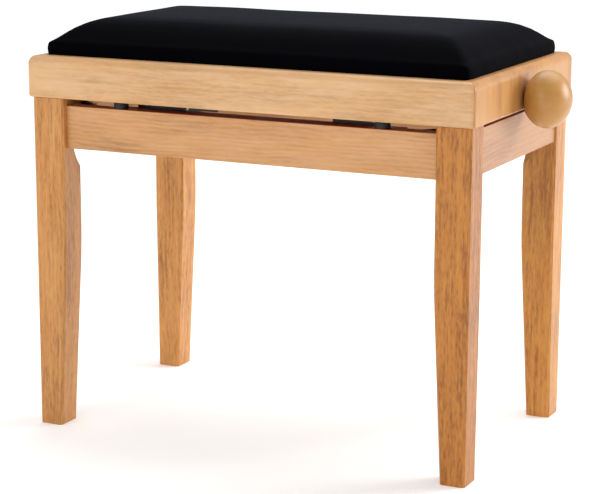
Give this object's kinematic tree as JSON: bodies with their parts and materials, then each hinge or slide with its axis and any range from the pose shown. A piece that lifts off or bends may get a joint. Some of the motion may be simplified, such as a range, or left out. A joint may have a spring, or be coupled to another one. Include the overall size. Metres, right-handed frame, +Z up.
{
  "type": "adjustable piano bench",
  "caption": "Rectangular height-adjustable bench with tapered wooden legs, aprons, a mitred seat frame, a dark upholstered cushion and turned side knobs on a lifting spindle.",
  "frame": {"origin": "on the floor under the middle of the bench, at the centre of its footprint", "axes": "+X along the bench to the right-hand knob, +Y from the front to the back, +Z up"},
  "size_m": [0.659, 0.33, 0.487],
  "materials": {
    "leg_wood": "clear satin lacquer on a warm honey hardwood with streaky grain",
    "rail_wood": "clear satin lacquer on pale honey hardwood with fine straight grain",
    "apron_wood": "clear satin lacquer, long grain with cathedral figure",
    "knob_wood": "turned hardwood, clear gloss lacquer",
    "inner_wood": "unfinished sawn softwood, in shade",
    "plywood": "raw plywood",
    "velvet": "short-pile black velvet",
    "foam": "open-cell upholstery foam",
    "black_steel": "satin black paint on pressed steel",
    "bright_steel": "turned and drawn steel, lightly oiled",
    "zinc": "bright zinc plate",
    "yellow_zinc": "yellow passivated zinc plate",
    "rubber": "moulded black rubber",
    "black_plastic": "moulded black plastic",
    "nylon": "natural nylon"
  },
  "bodies": {
    "base": {"leg_front_left": "leg_wood", "leg_front_right": "leg_wood", "leg_back_left": "leg_wood", "leg_back_right": "leg_wood", "front_apron": "apron_wood", "back_apron": "apron_wood", "left_apron": "apron_wood", "right_apron": "apron_wood", "front_cleat": "inner_wood", "back_cleat": "inner_wood", "corner_bracket_front_left": "black_steel", "corner_bracket_front_right": "black_steel", "corner_bracket_back_left": "black_steel", "corner_bracket_back_right": "black_steel", "hanger_bolts": "yellow_zinc", "hanger_washers": "zinc", "hanger_nuts": "yellow_zinc", "bracket_screws": "zinc", "cleat_screws": "zinc", "pivot_bracket_front": "black_steel", "pivot_bracket_back": "black_steel", "slot_bracket_front": "black_steel", "slot_bracket_back": "black_steel", "plate_screws": "zinc", "pivot_pins": "zinc", "pivot_spacers": "zinc", "rubber_bumpers": "rubber"},
    "seat": {"front_rail": "rail_wood", "back_rail": "rail_wood", "left_rail": "rail_wood", "right_rail": "rail_wood", "corner_block_front_left": "inner_wood", "corner_block_front_right": "inner_wood", "corner_block_back_left": "inner_wood", "corner_block_back_right": "inner_wood", "block_screws": "zinc", "board_screws": "zinc", "seat_board": "plywood", "foam_pad": "foam", "cushion_cover": "velvet", "carrier_front": "black_steel", "carrier_back": "black_steel", "carrier_screws": "zinc", "thrust_bar": "bright_steel", "thrust_spacers": "zinc", "spindle_bush_left": "black_plastic", "spindle_bush_right": "black_plastic"},
    "arms_a": {"arm_a_front": "black_steel", "arm_a_back": "black_steel", "centre_pins": "zinc"},
    "arms_b": {"arm_b_front": "black_steel", "arm_b_back": "black_steel", "slot_pins": "zinc", "slot_rollers": "nylon"},
    "nut": {"nut_bar": "bright_steel"},
    "screw": {"spindle": "bright_steel", "thrust_collars": "bright_steel", "knob_left": "knob_wood", "knob_right": "knob_wood"}
  },
  "joints": [
    {"name": "seat_lift", "type": "slide", "parent": "base", "child": "seat", "axis": [0, 0, 1], "range_m": [0, 0.1]},
    {"name": "arms_a_swing", "type": "hinge", "parent": "base", "child": "arms_a", "pos_m": [-0.1435, 0, 0.397], "axis": [0, -1, 0], "range_deg": [0, 20.5]},
    {"name": "arms_b_swing", "type": "hinge", "parent": "seat", "child": "arms_b", "pos_m": [-0.1435, 0, 0.4105], "axis": [0, 1, 0], "range_deg": [0, 20.5]},
    {"name": "nut_level", "type": "hinge", "parent": "arms_a", "child": "nut", "pos_m": [0.1435, 0, 0.4105], "axis": [0, 1, 0], "range_deg": [0, 20.5]},
    {"name": "spindle_turn", "type": "hinge", "parent": "seat", "child": "screw", "pos_m": [0, 0, 0.4105], "axis": [1, 0, 0], "range_deg": [0, 2768]}
  ],
  "couplings": [
    {"joint": "arms_a_swing", "follows": "seat_lift", "rad_per_m": 3.566},
    {"joint": "arms_b_swing", "follows": "seat_lift", "rad_per_m": 3.566},
    {"joint": "nut_level", "follows": "seat_lift", "rad_per_m": 3.566},
    {"joint": "spindle_turn", "follows": "seat_lift", "rad_per_m": 483}
  ]
}
